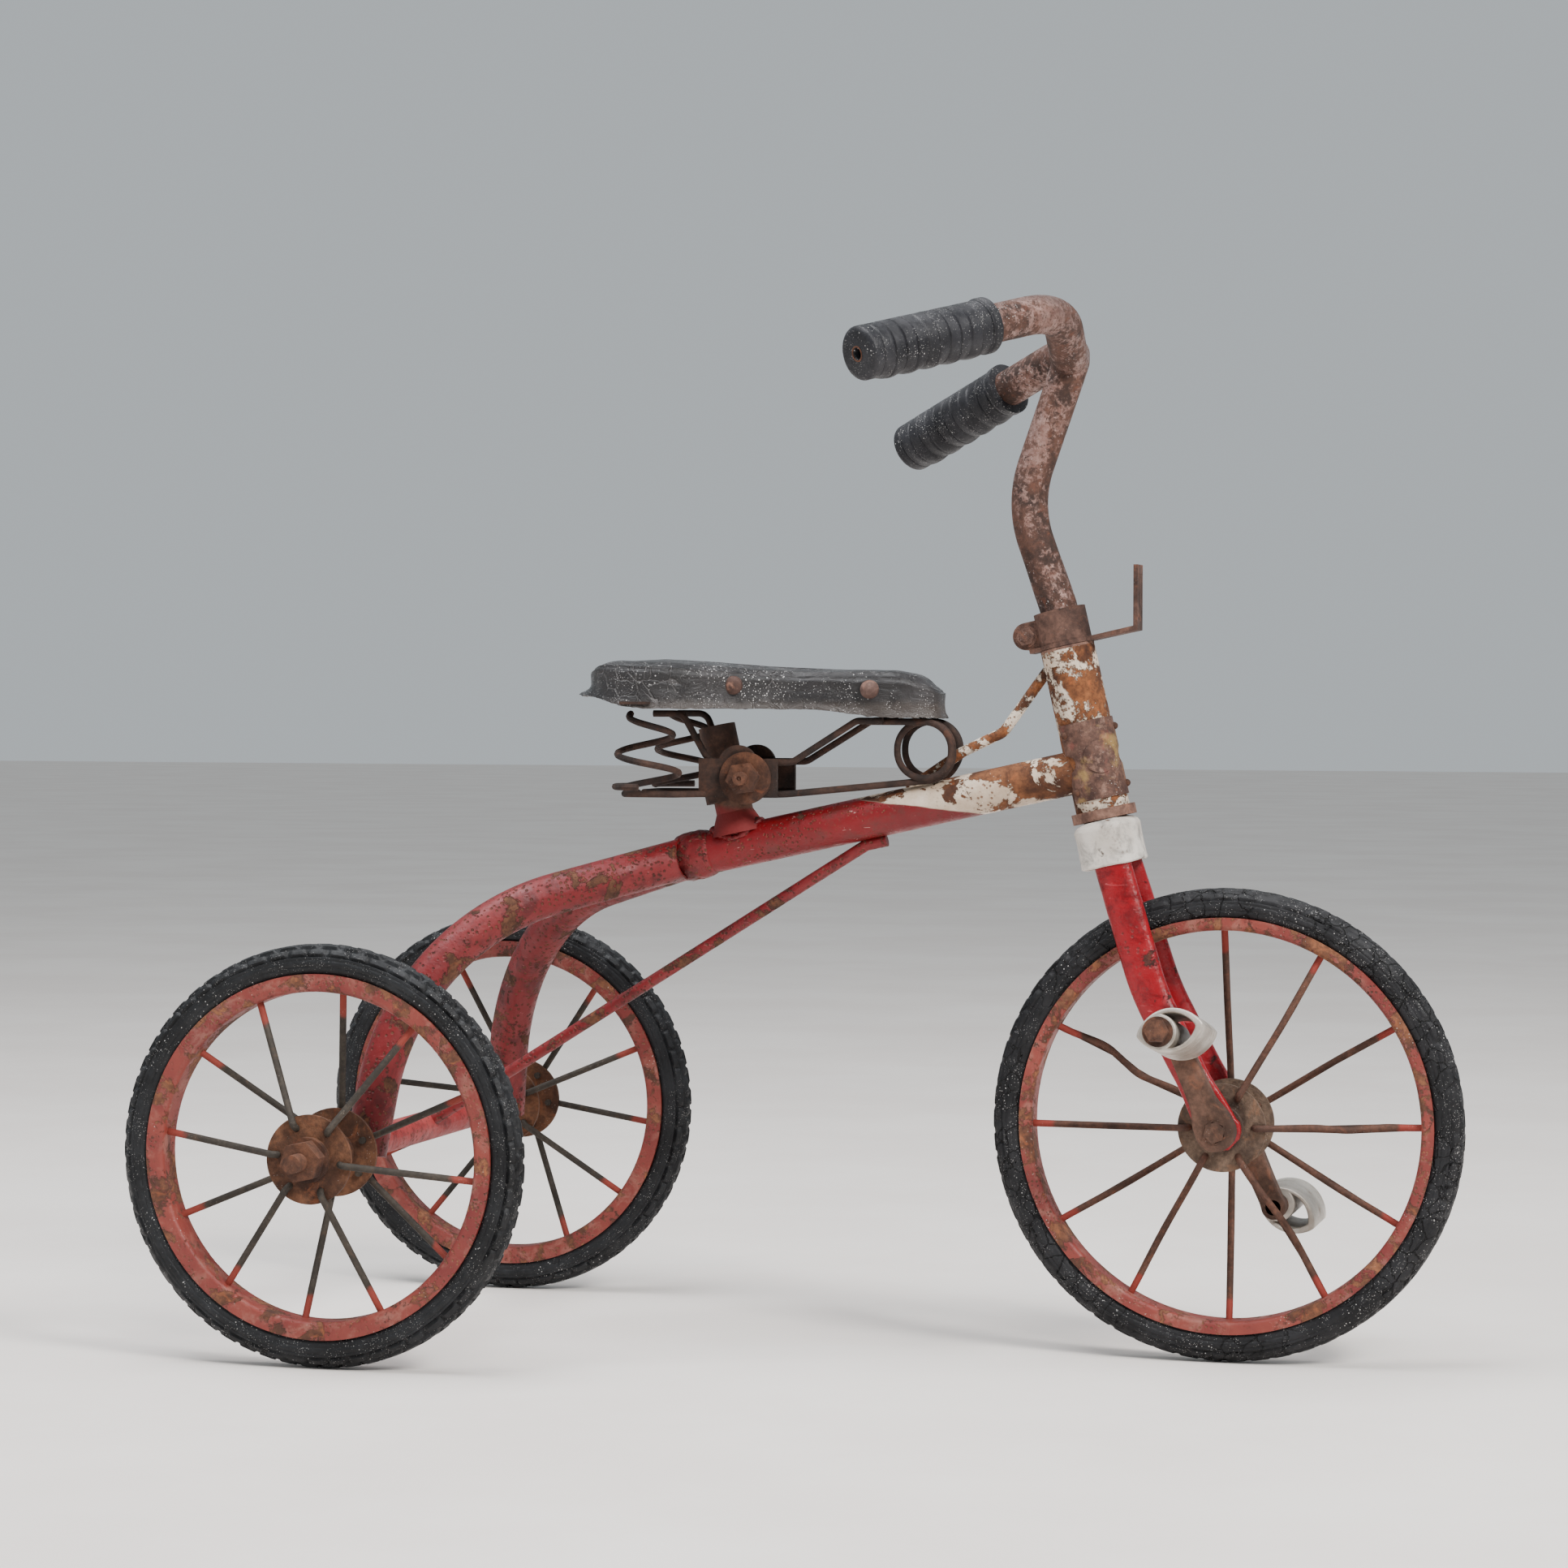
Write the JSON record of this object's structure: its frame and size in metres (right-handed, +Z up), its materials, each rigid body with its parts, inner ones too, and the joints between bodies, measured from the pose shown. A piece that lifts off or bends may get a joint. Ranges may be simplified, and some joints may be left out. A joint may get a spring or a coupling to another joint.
{
  "type": "children's tricycle",
  "caption": "Child's pedal tricycle: tube frame, steered front wheel with cranks, rear axle with free wheels, sprung saddle, swept handlebar.",
  "frame": {"origin": "on the ground, midway along and across the tricycle", "axes": "+X forward, +Y to the rider's left, +Z up"},
  "size_m": [0.7524, 0.428, 0.6127],
  "materials": {
    "red_paint": "worn red paint with rust",
    "cream_paint": "worn cream paint with rust",
    "rim_paint": "faded red paint with rust",
    "tyre_rubber": "aged solid rubber",
    "spoke_steel": "rusted wire",
    "hub_steel": "rusted pressed steel",
    "worn_chrome": "plated tube, rusted through in places",
    "clamp_steel": "rusted steel",
    "rusty_steel": "rusted steel",
    "badge_brass": "tarnished thin plate",
    "pedal_alloy": "worn casting",
    "spring_wire": "dark rusted wire and plate",
    "saddle_leather": "cracked, dusty",
    "rivet_metal": "dull domed rivets",
    "grip_rubber": "moulded, dusty"
  },
  "bodies": {
    "frame": {"head_tube": "cream_paint", "head_cup_upper": "rusty_steel", "head_cup_lower": "rusty_steel", "head_badge": "badge_brass", "badge_rivets": "rusty_steel", "main_tube": "red_paint", "joint_sleeve": "red_paint", "stay_right": "red_paint", "stay_left": "red_paint", "axle_tube": "red_paint", "lower_brace": "red_paint", "upper_brace": "cream_paint", "seat_post": "red_paint", "rear_axle": "rusty_steel", "axle_washers": "rusty_steel", "axle_nuts": "rusty_steel"},
    "fork": {"steerer": "rusty_steel", "fork_collar": "cream_paint", "blade_right": "red_paint", "blade_left": "red_paint", "axle_bushes": "rusty_steel", "stem_clamp": "clamp_steel", "clamp_bolt": "clamp_steel", "lamp_bracket": "clamp_steel"},
    "handlebar": {"stem": "worn_chrome", "crossbar": "worn_chrome", "grip_right": "grip_rubber", "grip_left": "grip_rubber"},
    "front_wheel": {"front_tyre": "tyre_rubber", "front_rim": "rim_paint", "front_spokes": "spoke_steel", "front_hub": "hub_steel", "front_axle": "rusty_steel", "crank_right": "rusty_steel", "crank_left": "rusty_steel", "spindle_right": "rusty_steel", "spindle_left": "rusty_steel", "spindle_nuts": "rusty_steel"},
    "pedal_right": {"pedal_right": "pedal_alloy"},
    "pedal_left": {"pedal_left": "pedal_alloy"},
    "rear_wheel_right": {"rear_tyre_right": "tyre_rubber", "rear_rim_right": "rim_paint", "rear_spokes_right": "spoke_steel", "rear_hub_right": "hub_steel"},
    "rear_wheel_left": {"rear_tyre_left": "tyre_rubber", "rear_rim_left": "rim_paint", "rear_spokes_left": "spoke_steel", "rear_hub_left": "hub_steel"},
    "saddle_clamp": {"clamp_block": "clamp_steel", "seat_bolt": "clamp_steel", "seat_nut": "clamp_steel"},
    "saddle_frame": {"clamp_cheeks": "clamp_steel", "lower_rails": "spring_wire", "upper_rails": "spring_wire", "rear_spring_right": "spring_wire", "rear_spring_left": "spring_wire"},
    "saddle_top": {"saddle_pan": "spring_wire", "saddle_bridges": "spring_wire", "saddle_cover": "saddle_leather", "saddle_rivets": "rivet_metal"}
  },
  "joints": [
    {"name": "steer", "type": "hinge", "parent": "frame", "child": "fork", "pos_m": [0.23875, 0, 0], "axis": [-0.2233, 0, 0.9748], "range_deg": [-80, 80]},
    {"name": "stem_height", "type": "slide", "parent": "fork", "child": "handlebar", "axis": [-0.2233, 0, 0.9748], "range_m": [0, 0.03]},
    {"name": "front_wheel_spin", "type": "hinge", "parent": "fork", "child": "front_wheel", "pos_m": [0.23875, 0, 0.1375], "axis": [0, 1, 0], "continuous": true},
    {"name": "pedal_right_spin", "type": "hinge", "parent": "front_wheel", "child": "pedal_right", "pos_m": [0.21597, -0.0439, 0.18866], "axis": [0, 0.9848, -0.1736], "continuous": true},
    {"name": "pedal_left_spin", "type": "hinge", "parent": "front_wheel", "child": "pedal_left", "pos_m": [0.26153, 0.0439, 0.08634], "axis": [0, 1, 0], "continuous": true},
    {"name": "rear_wheel_right_spin", "type": "hinge", "parent": "frame", "child": "rear_wheel_right", "pos_m": [-0.25475, -0.166, 0.1215], "axis": [0, 1, 0], "continuous": true},
    {"name": "rear_wheel_left_spin", "type": "hinge", "parent": "frame", "child": "rear_wheel_left", "pos_m": [-0.25475, 0.166, 0.1215], "axis": [0, 1, 0], "continuous": true},
    {"name": "saddle_height", "type": "slide", "parent": "frame", "child": "saddle_clamp", "axis": [-0.2181, 0, 0.9759], "range_m": [0, 0.012]},
    {"name": "saddle_tilt", "type": "hinge", "parent": "saddle_clamp", "child": "saddle_frame", "pos_m": [-0.04466, 0, 0.33635], "axis": [0, -1, 0], "range_deg": [0, 10]},
    {"name": "saddle_bounce", "type": "hinge", "parent": "saddle_frame", "child": "saddle_top", "pos_m": [0.03, 0, 0.371], "axis": [0, -1, 0], "range_deg": [0, 3], "stiffness_Nm_per_rad": 100, "springref_deg": -2.86, "deforming": ["rear_spring_right", "rear_spring_left", "upper_rails"]}
  ]
}
